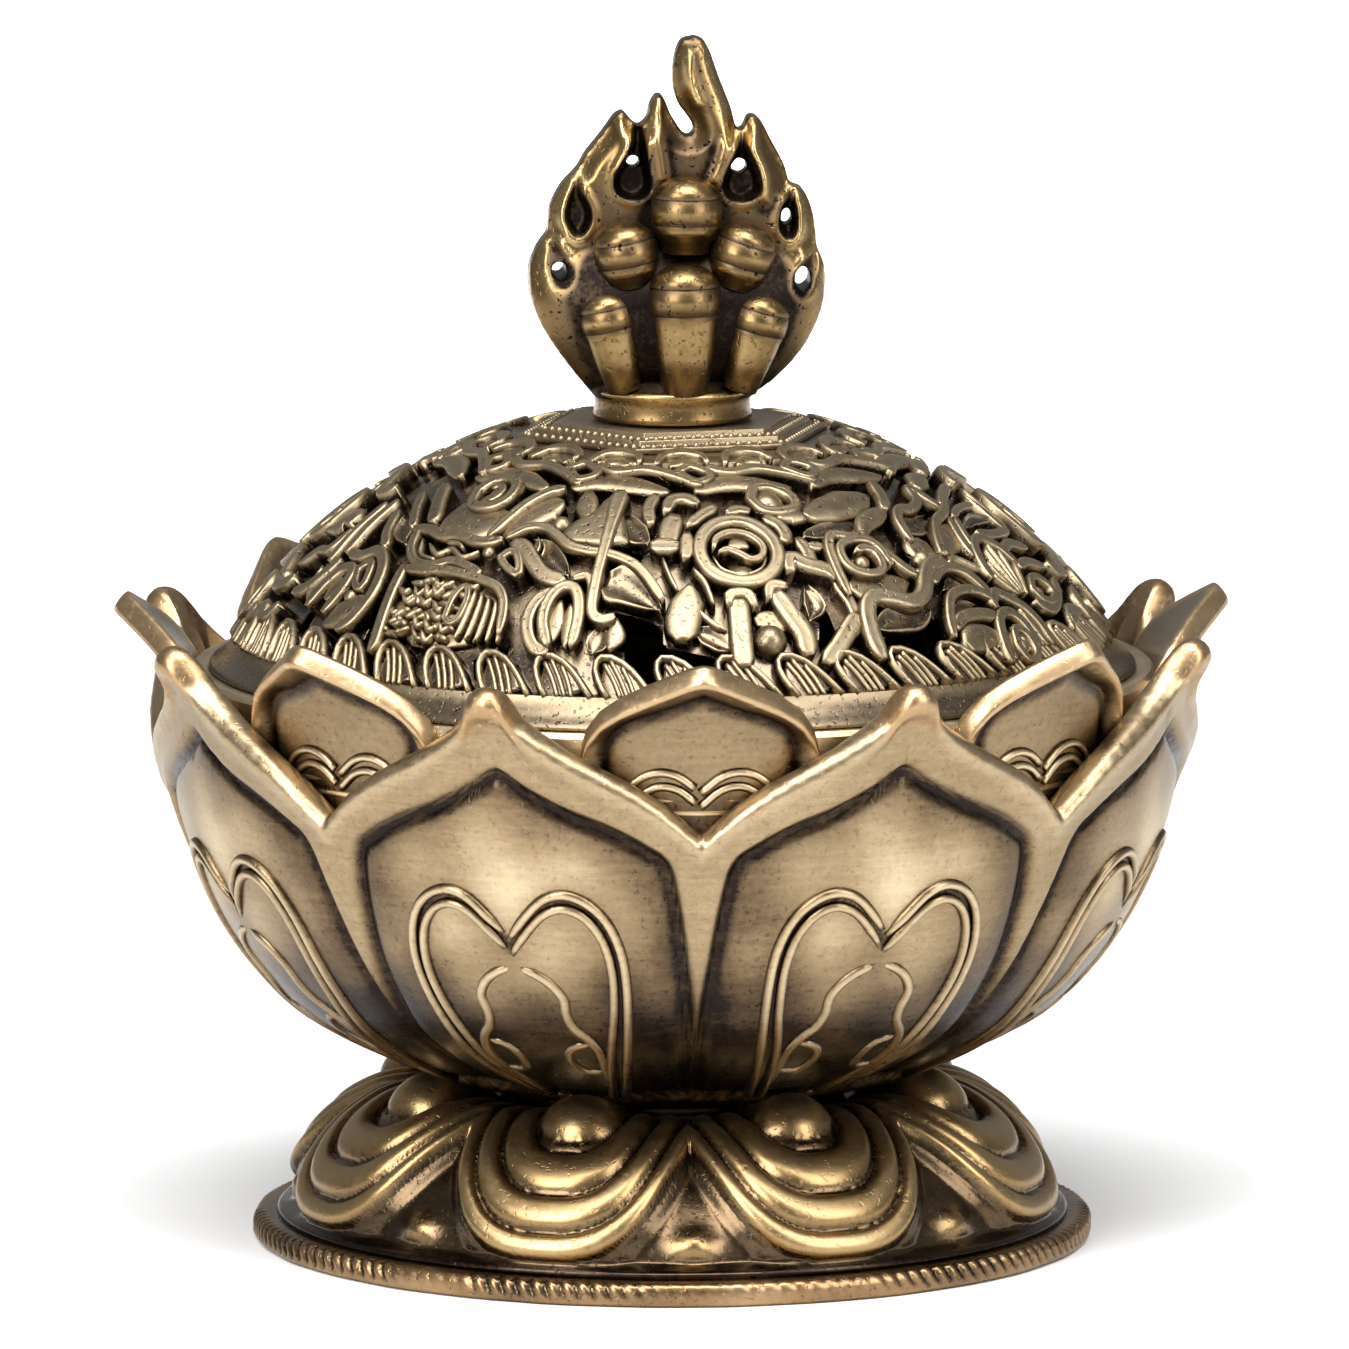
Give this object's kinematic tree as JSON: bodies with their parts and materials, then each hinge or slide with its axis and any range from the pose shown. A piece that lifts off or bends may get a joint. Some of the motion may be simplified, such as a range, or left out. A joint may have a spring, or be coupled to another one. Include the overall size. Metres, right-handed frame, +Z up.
{
  "type": "incense burner",
  "caption": "Footed lotus-petal incense burner with a pierced lift-off lid, flaming-jewel finial and fireproof mat.",
  "frame": {"origin": "centre of the resting face, on the table", "axes": "+Z up along the burner's own axis; -Y towards the viewer, through a notch between two outer petals; +X to the viewer's right, in the plane of the flat flame finial"},
  "size_m": [0.0884, 0.0884, 0.095],
  "materials": {
    "antique_brass": "cast, dark patina in the recesses, rubbed bright on the raised edges",
    "dark_brass": "cast, left dark with patina",
    "plated_steel": "zinc plated",
    "mineral_fibre": "felted glass and mineral fibre, matt"
  },
  "bodies": {
    "burner": {"base_ring": "antique_brass", "foot": "antique_brass", "neck": "dark_brass", "centre_bolt": "plated_steel", "bolt_washer": "plated_steel", "bolt_nut": "plated_steel", "lotus_bowl": "antique_brass", "inner_bowl": "antique_brass"},
    "mat": {"fireproof_mat": "mineral_fibre"},
    "lid": {"lid": "antique_brass", "cap_plate": "antique_brass", "finial": "antique_brass", "finial_screw": "plated_steel", "finial_washer": "plated_steel"}
  },
  "joints": [
    {"name": "lid_lift", "type": "slide", "parent": "burner", "child": "lid", "axis": [0, 0, 1], "range_m": [0, 0.05]},
    {"name": "mat_lift", "type": "slide", "parent": "burner", "child": "mat", "axis": [0, 0, 1], "range_m": [0, 0.026]}
  ]
}
